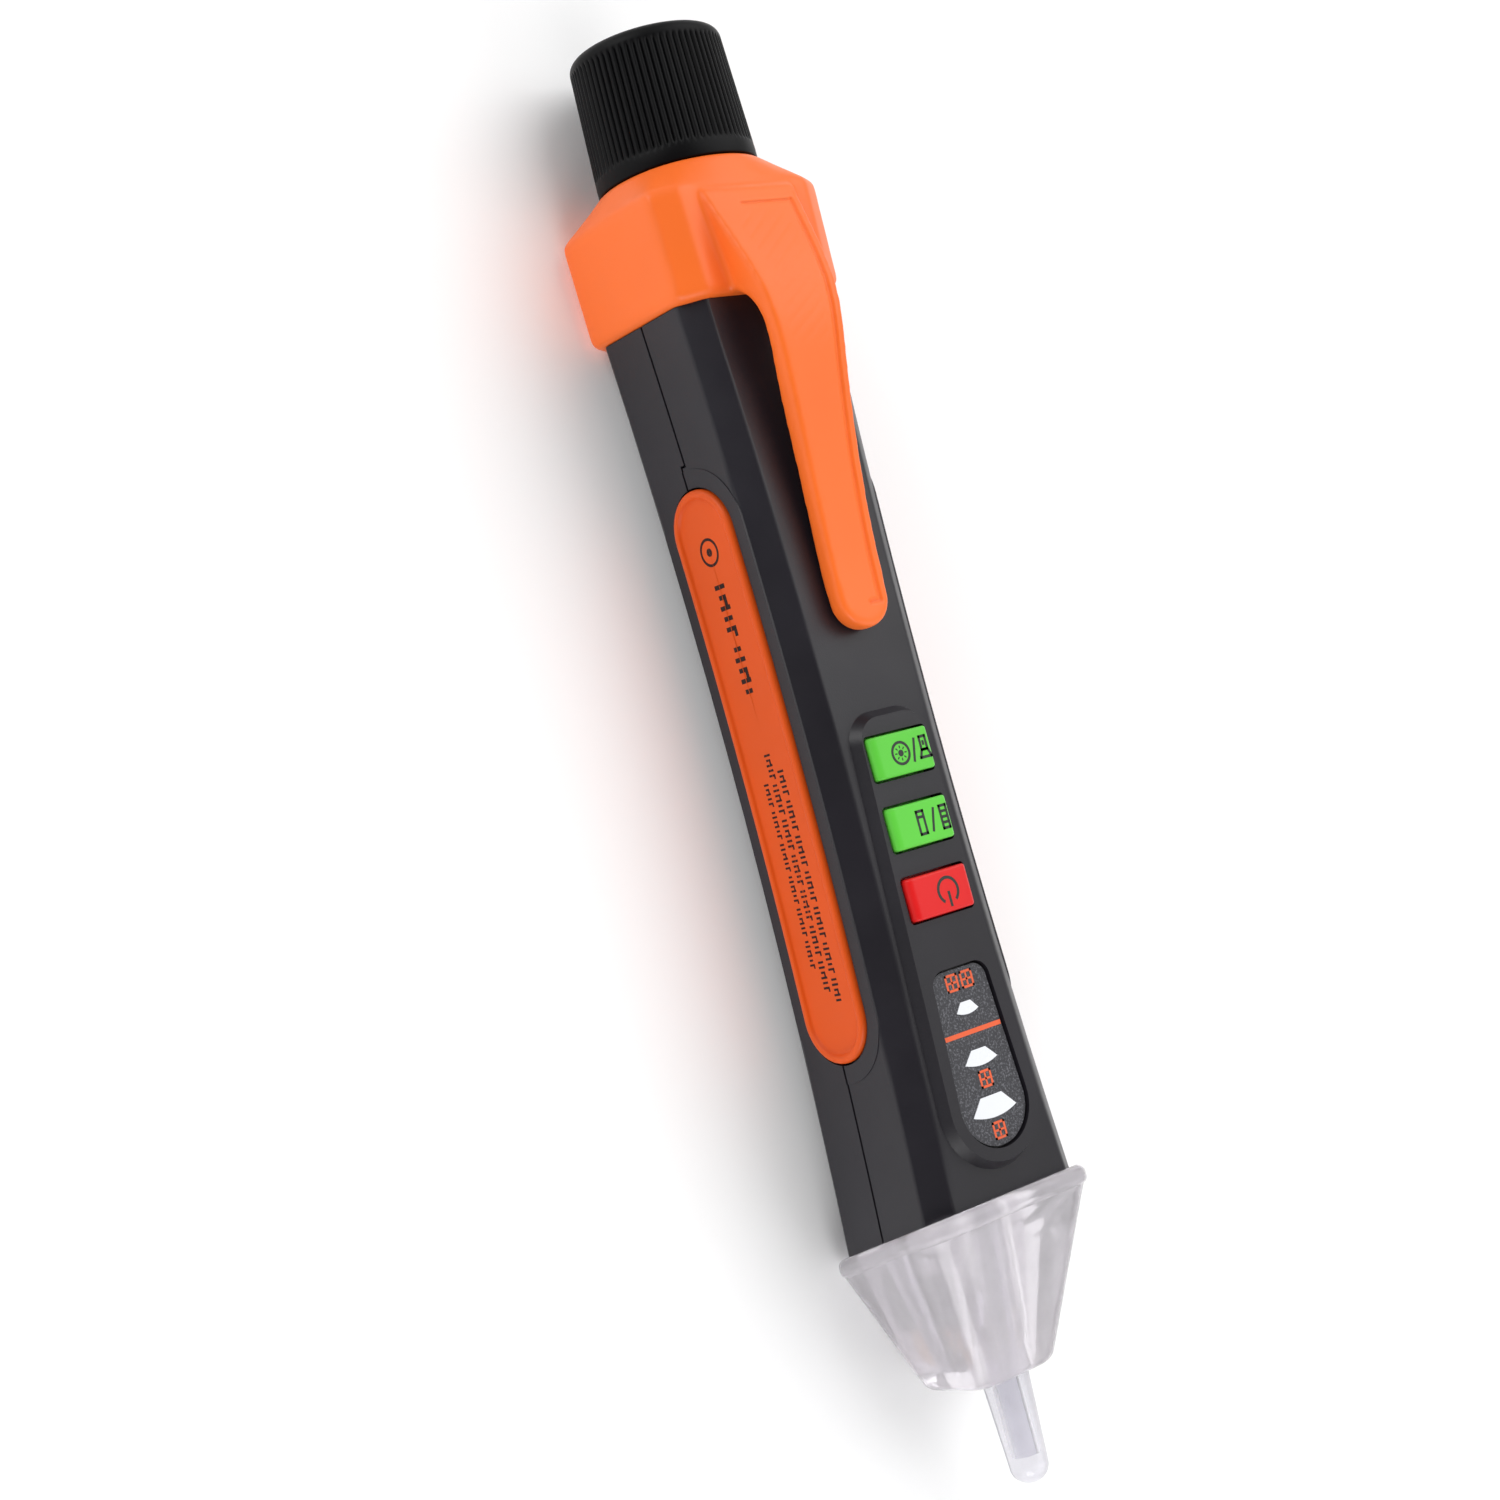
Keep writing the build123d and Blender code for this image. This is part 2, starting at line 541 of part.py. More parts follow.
save("main_board", make_board())
save("board_screws", Compound(children=[make_screw(x, y) for x, y in SCREW_PLACES]))
save("controller_chip", block((30.5, 34.5), (-2.0, 2.0), (BOARD_Z[0] - 1.0, BOARD_Z[0])))
save("buzzer", post(38.7, 0, 4.2, BOARD_Z[0] - 3.0, BOARD_Z[0]) - post(38.7, 0, 0.6, 0, BOARD_Z[0] - 2.0))
save("key_switches", Compound(children=[make_switch(x) for _, x, _ in KEYS]))
save("signal_lights", Compound(children=[
    block((x + 0.3, x + 1.5), (-0.8, 0.8), (BOARD_Z[1], BOARD_Z[1] + 0.5)) for _, x, *_ in WINDOWS]))

for name, x, half_width in KEYS:
    save(f"button_{name}", make_key(x, half_width))
    save(f"plunger_{name}", post(x, 0, PLUNGER_RADIUS, *PLUNGER_Z))

panel = Pos(0, 0, PANEL_FLOOR) * extrude(panel_outline(PANEL_GAP), PANEL_TOP - PANEL_FLOOR)
for name, *sizes in WINDOWS:
    panel -= extrude(window_face(*sizes), 20)
    guide = Pos(0, 0, WINDOW_BOTTOM) * extrude(window_face(*sizes), WINDOW_TOP - WINDOW_BOTTOM)
    save(name, guide)
save("indicator_panel", panel)

save("tip_housing", make_tip())
save("probe_sleeve", make_probe_sleeve())
save("antenna_wire", make_antenna())
save("torch_led", make_torch_led())
save("laser_module", make_laser())
save("lamp_holder", make_lamp_holder())
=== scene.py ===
import json
import math

import bmesh
import bpy
from mathutils import Matrix, Vector


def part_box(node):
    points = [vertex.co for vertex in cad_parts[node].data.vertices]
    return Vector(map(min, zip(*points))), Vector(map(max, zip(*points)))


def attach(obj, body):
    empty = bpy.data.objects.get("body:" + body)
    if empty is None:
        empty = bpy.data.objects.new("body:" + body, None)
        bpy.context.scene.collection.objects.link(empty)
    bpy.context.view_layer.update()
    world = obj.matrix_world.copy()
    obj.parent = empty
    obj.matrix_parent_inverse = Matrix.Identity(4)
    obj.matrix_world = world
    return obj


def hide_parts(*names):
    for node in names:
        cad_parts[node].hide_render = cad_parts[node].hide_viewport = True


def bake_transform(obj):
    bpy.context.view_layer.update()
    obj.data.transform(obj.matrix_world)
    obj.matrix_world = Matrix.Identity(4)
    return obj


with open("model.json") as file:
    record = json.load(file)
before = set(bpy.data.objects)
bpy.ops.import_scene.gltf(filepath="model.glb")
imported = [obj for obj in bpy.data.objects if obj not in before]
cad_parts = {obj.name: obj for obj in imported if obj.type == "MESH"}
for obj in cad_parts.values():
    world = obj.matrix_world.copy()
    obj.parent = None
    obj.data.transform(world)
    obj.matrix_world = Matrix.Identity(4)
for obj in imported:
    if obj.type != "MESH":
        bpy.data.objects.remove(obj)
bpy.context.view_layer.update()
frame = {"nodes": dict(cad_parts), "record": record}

# A non-contact voltage tester lying on its back. X runs from the battery cap to the probe, and the keys
# face +Z.
# Blender's lengths are metres, and MM turns millimetres into them.
MM = 0.001
AXIS_Z = 10.2 * MM  # height of the pen's axis above the floor


# ---------------------------------------------------------------- material tools

def new_material(name):
    """A material with an empty node tree but for its shader and output."""
    material = bpy.data.materials.new(name)
    material.use_nodes = True
    tree = material.node_tree
    return material, tree, tree.nodes["Principled BSDF"]


def link(tree, source, target):
    """Joins a node's output to another node's input."""
    tree.links.new(source, target)


def noise(tree, scale, detail=3.0, roughness=0.5):
    """Noise in object space. scale is in bumps per metre."""
    place = tree.nodes.new("ShaderNodeTexCoord")
    texture = tree.nodes.new("ShaderNodeTexNoise")
    texture.inputs["Scale"].default_value = scale
    texture.inputs["Detail"].default_value = detail
    texture.inputs["Roughness"].default_value = roughness
    link(tree, place.outputs["Object"], texture.inputs["Vector"])
    return texture.outputs["Fac"]


def ramp(tree, value, low, high, stops=(0.3, 0.7)):
    """Maps a value onto the blend between two colours."""
    node = tree.nodes.new("ShaderNodeValToRGB")
    node.color_ramp.elements[0].position = stops[0]
    node.color_ramp.elements[1].position = stops[1]
    node.color_ramp.elements[0].color = (*low, 1)
    node.color_ramp.elements[1].color = (*high, 1)
    link(tree, value, node.inputs["Fac"])
    return node.outputs["Color"]


def spread(tree, value, low, high):
    """Maps 0..1 onto low..high."""
    node = tree.nodes.new("ShaderNodeMapRange")
    node.inputs["To Min"].default_value = low
    node.inputs["To Max"].default_value = high
    link(tree, value, node.inputs["Value"])
    return node.outputs["Result"]


def bump(tree, shader, value, strength, depth):
    """Bumps the shader's normal by a height value. depth is in metres."""
    node = tree.nodes.new("ShaderNodeBump")
    node.inputs["Strength"].default_value = strength
    node.inputs["Distance"].default_value = depth
    link(tree, value, node.inputs["Height"])
    link(tree, node.outputs["Normal"], shader.inputs["Normal"])


def moulded(name, colour, roughness, grain=3500.0, depth=0.02 * MM, strength=0.35, vary=0.12,
            specular=0.5):
    """Moulded plastic or rubber: a fine grain, slight colour drift, and smoother and rougher patches."""
    material, tree, shader = new_material(name)
    drift = noise(tree, 60.0, 2.0)
    low = [c * (1 - vary) for c in colour]
    high = [min(1.0, c * (1 + vary)) for c in colour]
    link(tree, ramp(tree, drift, low, high), shader.inputs["Base Color"])
    wear = noise(tree, 220.0, 4.0)
    link(tree, spread(tree, wear, roughness - 0.07, roughness + 0.07), shader.inputs["Roughness"])
    bump(tree, shader, noise(tree, grain, 3.0, 0.6), strength, depth)
    shader.inputs["Specular IOR Level"].default_value = specular
    return material


def speckled(name, ground, fleck):
    """Dark plastic film with fine pale flecks."""
    material, tree, shader = new_material(name)
    flecks = noise(tree, 4200.0, 2.0, 0.7)
    link(tree, ramp(tree, flecks, ground, fleck, (0.5, 0.72)), shader.inputs["Base Color"])
    link(tree, spread(tree, flecks, 0.42, 0.58), shader.inputs["Roughness"])
    bump(tree, shader, flecks, 0.4, 0.015 * MM)
    return material


def metal(name, colour, roughness):
    """Drawn or plated metal with fine marks."""
    material, tree, shader = new_material(name)
    marks = noise(tree, 3000.0, 4.0, 0.6)
    low = [c * 0.85 for c in colour]
    link(tree, ramp(tree, marks, low, colour), shader.inputs["Base Color"])
    link(tree, spread(tree, marks, roughness, roughness + 0.15), shader.inputs["Roughness"])
    shader.inputs["Metallic"].default_value = 1.0
    bump(tree, shader, marks, 0.1, 0.01 * MM)
    return material


def clear(name, colour, roughness, grain_depth, transmission):
    """Clear plastic, frosted and slightly milky."""
    material, tree, shader = new_material(name)
    haze = noise(tree, 500.0, 4.0)
    low = [c * 0.93 for c in colour]
    link(tree, ramp(tree, haze, low, colour), shader.inputs["Base Color"])
    link(tree, spread(tree, haze, roughness * 0.8, roughness * 1.2), shader.inputs["Roughness"])
    shader.inputs["Transmission Weight"].default_value = transmission
    shader.inputs["IOR"].default_value = 1.4
    bump(tree, shader, noise(tree, 700.0, 2.0), 0.25, grain_depth)
    return material


CASE = moulded("charcoal_plastic", (0.013, 0.0115, 0.016), 0.38, grain=5200, depth=0.02 * MM,
               strength=0.45, vary=0.2, specular=0.42)
ORANGE = moulded("orange_plastic", (0.95, 0.165, 0.022), 0.38, grain=4200, depth=0.008 * MM,
                 strength=0.25, vary=0.04, specular=0.35)
GRIP = moulded("orange_rubber", (0.70, 0.085, 0.006), 0.42, grain=5200, depth=0.015 * MM,
               strength=0.4, vary=0.05, specular=0.25)
BLACK = moulded("black_plastic", (0.003, 0.003, 0.0035), 0.45, grain=5200, depth=0.015 * MM,
                strength=0.4, specular=0.12)
GREEN = moulded("green_key", (0.12, 0.62, 0.055), 0.4, grain=5200, depth=0.008 * MM,
                strength=0.25, vary=0.05, specular=0.3)
RED = moulded("red_key", (0.74, 0.012, 0.012), 0.4, grain=5200, depth=0.008 * MM,
              strength=0.25, vary=0.05, specular=0.3)
PANEL = speckled("panel_grey", (0.030, 0.030, 0.036), (0.16, 0.16, 0.18))
WINDOW = moulded("window_white", (0.88, 0.90, 0.94), 0.3, grain=2000, depth=0.004 * MM,
                 strength=0.1, vary=0.03)
BOARD = moulded("solder_mask", (0.02, 0.16, 0.06), 0.35, grain=1500, depth=0.01 * MM, strength=0.3)
SEAL = moulded("seal_rubber", (0.012, 0.012, 0.012), 0.55)
KEY_INK = moulded("key_ink", (0.012, 0.018, 0.012), 0.5)
GRIP_INK = moulded("grip_ink", (0.018, 0.007, 0.005), 0.5, specular=0.2)
PANEL_INK = moulded("panel_ink", (0.86, 0.12, 0.03), 0.45)
JACKET = metal("cell_jacket", (0.12, 0.16, 0.30), 0.3)
STEEL = metal("spring_steel", (0.62, 0.62, 0.63), 0.25)
BRASS = metal("brass", (0.80, 0.62, 0.30), 0.25)
CLEAR = clear("frosted_clear", (0.99, 0.955, 1.0), 0.12, 0.03 * MM, 0.68)
NOSE = clear("clear_nose", (0.86, 0.85, 0.90), 0.05, 0.012 * MM, 0.86)
LENS = clear("led_lens", (0.98, 0.62, 0.36), 0.08, 0.004 * MM, 0.5)

SLOT_MATERIALS = {
    "case_plastic": CASE,
    "orange_plastic": ORANGE,
    "grip_rubber": GRIP,
    "cap_plastic": BLACK,
    "key_green": GREEN,
    "key_red": RED,
    "panel_plastic": PANEL,
    "window_white": WINDOW,
    "clear_plastic": CLEAR,
    "board_green": BOARD,
    "chip_black": BLACK,
    "holder_plastic": BLACK,
    "cell_jacket": JACKET,
    "spring_steel": STEEL,
    "brass": BRASS,
    "seal_rubber": SEAL,
    "led_lens": LENS,
}


def coat_cad_nodes():
    """Gives every CAD node its slot's material, and shades flat faces flat and small bevels round."""
    for part in frame["record"]["subparts"]:
        node = frame["nodes"][part["node"]]
        node.data.materials.clear()
        finish = NOSE if part["node"] == "probe_sleeve" else SLOT_MATERIALS[part["material_slot"]]
        node.data.materials.append(finish)
        node.data.polygons.foreach_set("use_smooth", [True] * len(node.data.polygons))
        weld = node.modifiers.new("weld", "WELD")
        weld.merge_threshold = 0.001 * MM
        split = node.modifiers.new("sharp_edges", "EDGE_SPLIT")
        split.split_angle = math.radians(32)
        weighted = node.modifiers.new("flat_faces", "WEIGHTED_NORMAL")
        weighted.mode = "FACE_AREA_WITH_ANGLE"
        weighted.keep_sharp = True


coat_cad_nodes()


# ---------------------------------------------------------------- mesh tools

def add_piece(name, mesh, material, body, replaces=(), smooth_angle=35.0):
    """Puts a mesh in the scene as a piece with the given material, riding on a body when one is given."""
    piece = bpy.data.objects.new(name, mesh)
    bpy.context.scene.collection.objects.link(piece)
    mesh.materials.append(material)
    mesh.shade_smooth()
    mesh.set_sharp_from_angle(angle=math.radians(smooth_angle))
    if body:
        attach(piece, body)
    if replaces:
        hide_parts(*replaces)
    return piece


def mesh_from(name, points, faces):
    """A mesh with outward normals, from points in millimetres about the pen's axis."""
    mesh = bpy.data.meshes.new(name)
    mesh.from_pydata([(x * MM, y * MM, z * MM + AXIS_Z) for x, y, z in points], [], faces)
    build = bmesh.new()
    build.from_mesh(mesh)
    bmesh.ops.recalc_face_normals(build, faces=build.faces)
    build.to_mesh(mesh)
    build.free()
    return mesh


def skin(name, rings):
    """A closed tube through rings that all have the same number of points."""
    count = len(rings[0])
    points = [p for ring in rings for p in ring]
    faces = []
    for start in range(0, len(points) - count, count):
        for k in range(count):
            n = (k + 1) % count
            faces.append((start + k, start + n, start + count + n, start + count + k))
    faces.append(tuple(range(count)))
    faces.append(tuple(range(len(points) - count, len(points))))
    return mesh_from(name, points, faces)


# ---------------------------------------------------------------- battery cap

CAP_RIDGES = 72
RIDGE_DEPTH = 0.32
RIDGE_SAMPLES = 8
THREAD_PITCH = 1.5
THREAD_DEPTH = 0.4
# (share of the way down the gripped side, share of the ridges' depth), fading out at both ends
KNURLING = (
    (0, 0.0), (0.012, 0.35), (0.03, 0.75), (0.055, 1), (0.3, 1), (0.6, 1), (0.945, 1), (0.97, 0.75),
    (0.988, 0.35), (1, 0.0),
)


def ridge_height(turn):
    """0 in a groove between two ridges and 1 on a ridge. turn runs from 0 to 1 around the cap."""
    return abs(math.sin(math.pi * CAP_RIDGES * turn)) ** 0.65


def thread_height(x, turn):
    """1 on the thread's crest and 0 in its root."""
    place = (x / THREAD_PITCH + turn) % 1.0
    return min(1.0, max(0.0, 3.0 * (0.7 - abs(2.0 * place - 1.0))))


def cap_profile():
    """(x, radius, share of ridges, share of thread) from the top's centre round to the bore's floor."""
    rows = [(-79.55, 0.02, 0, 0), (-79.55, 5.9, 0, 0), (-79.62, 6.25, 0, 0), (-79.93, 6.6, 0, 0)]
    rows.append((-80.0, 6.9, 0, 0))
    for step in range(1, 9):
        angle = math.pi / 2 * step / 8
        rows.append((-78.75 - 1.25 * math.cos(angle), 7.23 + 1.25 * math.sin(angle), 0, 0))
    low, high = 8.48, 8.88
    start, end = -78.6, -66.55
    for share, ridge in KNURLING:
        rows.append((start + (end - start) * share, low + (high - low) * share, ridge, 0))
    rows += [(-66.2, 8.9, 0, 0), (-65.15, 8.9, 0, 0), (-64.92, 8.84, 0, 0), (-64.82, 8.66, 0, 0)]
    rows += [(-64.8, 8.4, 0, 0), (-64.8, 7.0, 0, 0), (-64.75, 6.9, 0, 0), (-64.3, 6.88, 0, 0)]
    rows += [(-64.25, 6.07, 0, 0), (-62.75, 6.07, 0, 0), (-62.7, 6.88, 0, 0), (-62.5, 6.88, 0, 0)]
    steps = 26
    for step in range(steps + 1):
        edge = min(1.0, 4.0 * step / steps, 4.0 * (steps - step) / steps)
        rows.append((-62.4 + 3.8 * step / steps, 6.88, 0, edge))
    rows += [(-58.45, 6.75, 0, 0), (-58.32, 6.5, 0, 0), (-58.3, 5.75, 0, 0), (-58.4, 5.66, 0, 0)]
    return rows + [(-73.95, 5.66, 0, 0), (-74.0, 5.6, 0, 0), (-74.0, 0.02, 0, 0)]


def make_cap():
    """The battery cap with its knurled grip, seal groove and screw thread, turned round the pen's axis."""
    count = CAP_RIDGES * RIDGE_SAMPLES
    rings = []
    for x, radius, ridges, thread in cap_profile():
        ring = []
        for k in range(count):
            turn = k / count
            r = radius - RIDGE_DEPTH * ridges * (1 - ridge_height(turn))
            r -= THREAD_DEPTH * (1 - thread_height(x, turn)) * min(1.0, thread * 4) if thread else 0
            ring.append((x, r * math.cos(2 * math.pi * turn), r * math.sin(2 * math.pi * turn)))
        rings.append(ring)
    add_piece("knurled_cap", skin("knurled_cap", rings), BLACK, "cap", ("battery_cap",))


# ---------------------------------------------------------------- collar and clip

CLIP_VOXEL = 0.16 * MM
SMOOTH_TURNS = 90
# (X, half the clip's width) from its root to its foot, in millimetres
CLIP_HALF_WIDTHS = ((-60.4, 6.4), (-48.4, 5.1), (-40.0, 4.25), (-30.0, 3.65), (-20.0, 3.4), (-12.0, 3.35))
CLIP_OVERLAP = 0.6  # how far the clip reaches into the collar, so that the two fuse
GROOVED_ABOVE = 10.0  # only faces higher than this above the axis carry the groove
GROOVE_INSET = 1.45
GROOVE_WIDTH = 0.32
GROOVE_DEPTH = 0.26
GROOVE_ENDS = (-58.3, -14.6)
HATCH_PITCH = 1.5
HATCH_DEPTH = 0.05


def clip_half_width(x):
    """Half the clip's width at a place along the pen."""
    for (x_from, w_from), (x_to, w_to) in zip(CLIP_HALF_WIDTHS, CLIP_HALF_WIDTHS[1:]):
        if x <= x_to:
            return w_from + (w_to - w_from) * (x - x_from) / (x_to - x_from)
    return CLIP_HALF_WIDTHS[-1][1]


def groove_depth(x, y):
    """How deep the fine groove and the faint hatching on the clip's top are at a place, in millimetres."""
    inset = clip_half_width(x) - GROOVE_INSET
    start, end = GROOVE_ENDS
    along = math.hypot(y - inset, max(0.0, start - x, x - end))
    tick = math.hypot(x - end, max(0.0, y - inset, inset - 1.3 - y))
    root = math.hypot(x - start, max(0.0, y - inset, -2.0 - y)) + GROOVE_WIDTH * 0.4
    groove = GROOVE_DEPTH * max(0.0, 1.0 - (min(along, tick, root) / GROOVE_WIDTH) ** 2)
    fade = max(0.0, min(1.0, (inset - 0.6 - abs(y + 0.4)) * 1.5, x - start - 0.8, (-41.0 - x) / 6))
    return groove + HATCH_DEPTH * fade * max(0.0, math.sin(math.tau * (x + 0.7 * y) / HATCH_PITCH))


def make_collar_and_clip():
    """The collar and its clip as one moulding, with every edge softened."""
    build = bmesh.new()
    build.from_mesh(frame["nodes"]["clip_collar"].data)
    clip_start = len(build.verts)
    build.from_mesh(frame["nodes"]["pocket_clip"].data)
    build.verts.ensure_lookup_table()
    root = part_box("pocket_clip")[0].x
    for vertex in build.verts[clip_start:]:
        if vertex.co.x < root + 0.1 * MM:
            vertex.co.x -= CLIP_OVERLAP * MM
    bmesh.ops.remove_doubles(build, verts=build.verts, dist=0.0005 * MM)
    mesh = bpy.data.meshes.new("collar_and_clip")
    build.to_mesh(mesh)
    build.free()
    piece = add_piece("collar_and_clip", mesh, ORANGE, None, ("clip_collar", "pocket_clip"))
    remesh = piece.modifiers.new("one_skin", "REMESH")
    remesh.mode = "VOXEL"
    remesh.voxel_size = CLIP_VOXEL
    smooth = piece.modifiers.new("soft_edges", "SMOOTH")
    smooth.factor = 0.5
    smooth.iterations = SMOOTH_TURNS
    graph = bpy.context.evaluated_depsgraph_get()
    final = bpy.data.meshes.new_from_object(piece.evaluated_get(graph))
    piece.modifiers.clear()
    piece.data = final
    final.shade_smooth()
    lowest = AXIS_Z + GROOVED_ABOVE * MM
    upward = [vertex for vertex in final.vertices if vertex.normal.z > 0.6 and vertex.co.z > lowest]
    for vertex in upward:
        vertex.co.z -= groove_depth(vertex.co.x / MM, vertex.co.y / MM) * MM
    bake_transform(piece)


# ---------------------------------------------------------------- prints

INK = 0.015  # how far a print stands off its surface, in millimetres


class Print:
    """Flat ink shapes, drawn in millimetres on a surface and gathered into one mesh.

    place(u, v, lift) gives the point in the pen's axes: u runs to the right as the marks are read,
    and v upwards.
    """

    def __init__(self, place):
        self.place = place
        self.points = []
        self.faces = []

    def shape(self, outline):
        """A filled convex outline, as a plate one ink layer thick."""
        first, count = len(self.points), len(outline)
        for lift in (-INK, INK):
            self.points += [self.place(u, v, lift) for u, v in outline]
        self.faces.append(tuple(range(first, first + count)))
        self.faces.append(tuple(range(first + count, first + 2 * count)))
        for k in range(count):
            n = (k + 1) % count
            self.faces.append((first + k, first + n, first + count + n, first + count + k))

    def bar(self, u_from, v_from, u_to, v_to, width):
        """A straight stroke."""
        length = math.hypot(u_to - u_from, v_to - v_from)
        across = ((v_from - v_to) / length * width / 2, (u_to - u_from) / length * width / 2)
        self.shape([(u_from + across[0], v_from + across[1]), (u_to + across[0], v_to + across[1]),
                    (u_to - across[0], v_to - across[1]), (u_from - across[0], v_from - across[1])])

    def path(self, corners, width, closed=True):
        """Straight strokes from corner to corner, each a little overlong so that they join."""
        pairs = list(zip(corners, corners[1:] + corners[:1]))
        for (u_from, v_from), (u_to, v_to) in pairs if closed else pairs[:-1]:
            reach = width / 2 / math.hypot(u_to - u_from, v_to - v_from)
            more = ((u_to - u_from) * reach, (v_to - v_from) * reach)
            self.bar(u_from - more[0], v_from - more[1], u_to + more[0], v_to + more[1], width)

    def arc(self, u, v, radius, width, from_degrees=0.0, to_degrees=360.0):
        """A round stroke, with its angles counted from the right."""
        steps = 40
        sweep = to_degrees - from_degrees
        angles = [math.radians(from_degrees + sweep * k / steps) for k in range(steps + 1)]
        inner, outer = radius - width / 2, radius + width / 2
        for a, b in zip(angles, angles[1:]):
            corners = ((inner, a), (outer, a), (outer, b), (inner, b))
            self.shape([(u + reach * math.cos(angle), v + reach * math.sin(angle))
                        for reach, angle in corners])

    def disc(self, u, v, radius):
        """A filled round dot."""
        sides = 20
        self.shape([(u + radius * math.cos(math.tau * k / sides), v + radius * math.sin(math.tau * k / sides))
                    for k in range(sides)])

    def finish(self, name, material, body, slot):
        """Adds the gathered shapes to the scene as one piece."""
        add_piece(name, mesh_from(name, self.points, self.faces), material, body)


# ---------------------------------------------------------------- keys

# name, X of its middle, half its width, material, slot
KEYS = (
    ("light", 1.5, 4.05, GREEN, "key_green"),
    ("sensitivity", 9.05, 4.1, GREEN, "key_green"),
    ("power", 16.55, 4.25, RED, "key_red"),
)
KEY_HALF_LENGTH = 2.25
KEY_BOTTOM = 7.6
KEY_TOP = 11.1
KEY_LIP = 0.42  # how far the lip stands out round the key
KEY_LIP_TOP = 8.35
KEY_END_ROUND = 0.85
KEY_EDGE_ROUND = 0.3
KEY_LINE = 0.3


def box_into(build, low, high):
    """Adds a block between two corners, in millimetres about the pen's axis."""
    middle = (Vector(low) + Vector(high)) / 2
    size = Vector(high) - Vector(low)
    place = middle * MM + Vector((0, 0, AXIS_Z))
    matrix = Matrix.Translation(place) @ Matrix.Diagonal((*(size * MM), 1))
    bmesh.ops.create_cube(build, size=1.0, matrix=matrix)


def make_key(name, x, half_width, material, slot):
    """A key with rounded ends, softened edges and the lip that keeps it in the case."""
    build = bmesh.new()
    box_into(build, (x - KEY_HALF_LENGTH, -half_width, KEY_BOTTOM),
             (x + KEY_HALF_LENGTH, half_width, KEY_TOP))
    top = max(vertex.co.z for vertex in build.verts)
    ends = [edge for edge in build.edges
            if all(vertex.co.z > top - 0.01 * MM for vertex in edge.verts)
            and abs(edge.verts[0].co.y - edge.verts[1].co.y) < 0.01 * MM]
    bmesh.ops.bevel(build, geom=ends, offset=KEY_END_ROUND * MM, segments=10, profile=0.5, affect="EDGES")
    lip_x, lip_y = KEY_HALF_LENGTH + KEY_LIP, half_width + KEY_LIP
    box_into(build, (x - lip_x, -lip_y, KEY_BOTTOM), (x + lip_x, lip_y, KEY_LIP_TOP))
    mesh = bpy.data.meshes.new(f"key_{name}")
    build.to_mesh(mesh)
    build.free()
    key = add_piece(f"key_{name}", mesh, material, f"key_{name}", (f"button_{name}",))
    soften = key.modifiers.new("soft_edges", "BEVEL")
    soften.width = KEY_EDGE_ROUND * MM
    soften.segments = 4
    soften.limit_method = "ANGLE"
    soften.angle_limit = math.radians(40)
    soften.harden_normals = True


def key_print(x, y):
    """Ink on a key's top about a place. The marks are read with the probe pointing up."""
    return Print(lambda u, v, lift: (x + v, y - u, KEY_TOP + lift))


def make_key_marks():
    """A lamp and a ringed dot, a tall and a short bar, and the usual power symbol."""
    (_, light_x, *_), (_, sensitivity_x, *_), (_, power_x, *_) = KEYS
    marks = key_print(light_x, 0.6)
    marks.path([(-2.55, -1.2), (-1.75, -1.2), (-1.75, 0.2), (-2.55, 0.2)], KEY_LINE)
    marks.path([(-2.55, 0.2), (-1.75, 0.2), (-1.4, 1.0), (-2.9, 1.0)], KEY_LINE)
    marks.bar(-2.15, -0.75, -2.15, -0.25, KEY_LINE)
    marks.bar(-1.05, -1.25, -0.4, 1.25, KEY_LINE)
    marks.arc(1.15, 0.0, 1.15, KEY_LINE)
    marks.disc(1.15, 0.0, 0.36)
    for turn in range(8):
        angle = math.radians(45 * turn)
        marks.bar(1.15 + 0.5 * math.cos(angle), 0.5 * math.sin(angle),
                  1.15 + 0.8 * math.cos(angle), 0.8 * math.sin(angle), 0.14)
    marks.finish("marks_light", KEY_INK, "key_light", "cap_plastic")

    marks = key_print(sensitivity_x, 0.9)
    marks.path([(-2.5, -1.2), (-1.6, -1.2), (-1.6, 1.2), (-2.5, 1.2)], KEY_LINE)
    for v in (-0.6, 0.0, 0.6):
        marks.bar(-2.4, v, -1.7, v, KEY_LINE)
    marks.bar(-0.8, -1.25, -0.1, 1.25, KEY_LINE)
    marks.path([(0.75, -1.2), (1.65, -1.2), (1.65, 1.2), (0.75, 1.2)], KEY_LINE)
    marks.bar(0.85, -0.6, 1.55, -0.6, KEY_LINE)
    marks.finish("marks_sensitivity", KEY_INK, "key_sensitivity", "cap_plastic")

    marks = key_print(power_x, 0.75)
    marks.arc(0.0, 0.0, 1.35, 0.34, 125.0, 415.0)
    marks.bar(0.0, 0.1, 0.0, 1.75, 0.34)
    marks.finish("marks_power", KEY_INK, "key_power", "cap_plastic")


# ---------------------------------------------------------------- indicator panel

PANEL_TOP = 9.85


